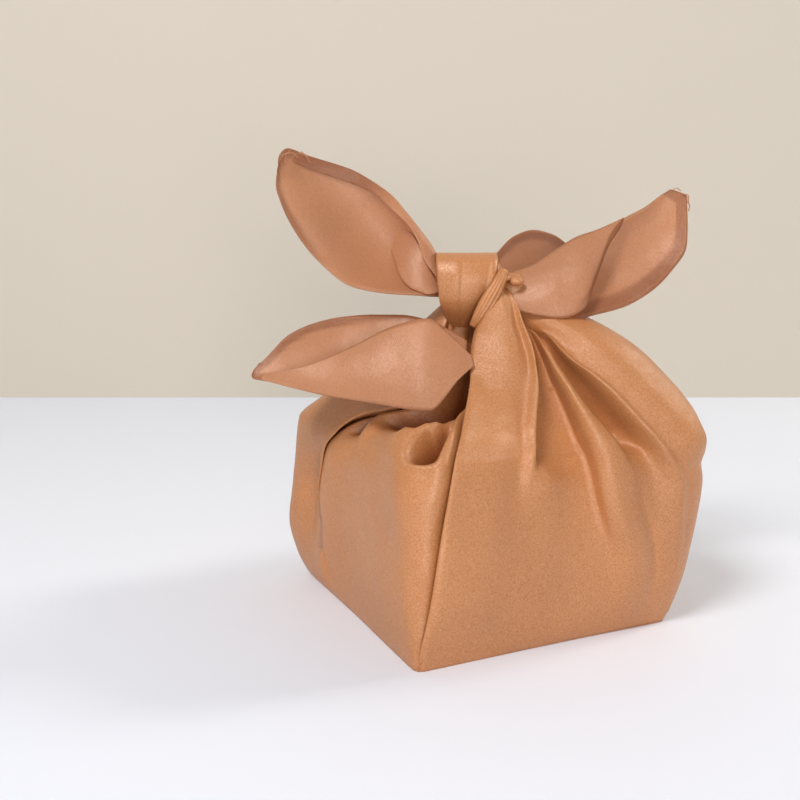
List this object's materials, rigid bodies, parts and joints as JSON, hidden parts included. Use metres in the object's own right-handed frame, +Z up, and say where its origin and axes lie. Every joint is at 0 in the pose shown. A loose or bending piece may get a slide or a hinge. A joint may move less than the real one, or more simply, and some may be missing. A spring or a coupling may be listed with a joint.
{
  "type": "furoshiki wrap",
  "caption": "Square satin cloth drawn up round a box-shaped space and knotted on top, with long leaf-like tails, corner pleats and gathers running down from the knot.",
  "frame": {"origin": "middle of the flat base, on the surface it rests on", "axes": "+Z up; the front of the wrap, where its front panel faces, is -Y; +X is to the right seen from the front"},
  "size_m": [0.1966, 0.1597, 0.2181],
  "materials": {
    "satin_cloth": "soft rose tan satin"
  },
  "bodies": {
    "root": {"furoshiki_cloth": "satin_cloth"}
  },
  "joints": []
}
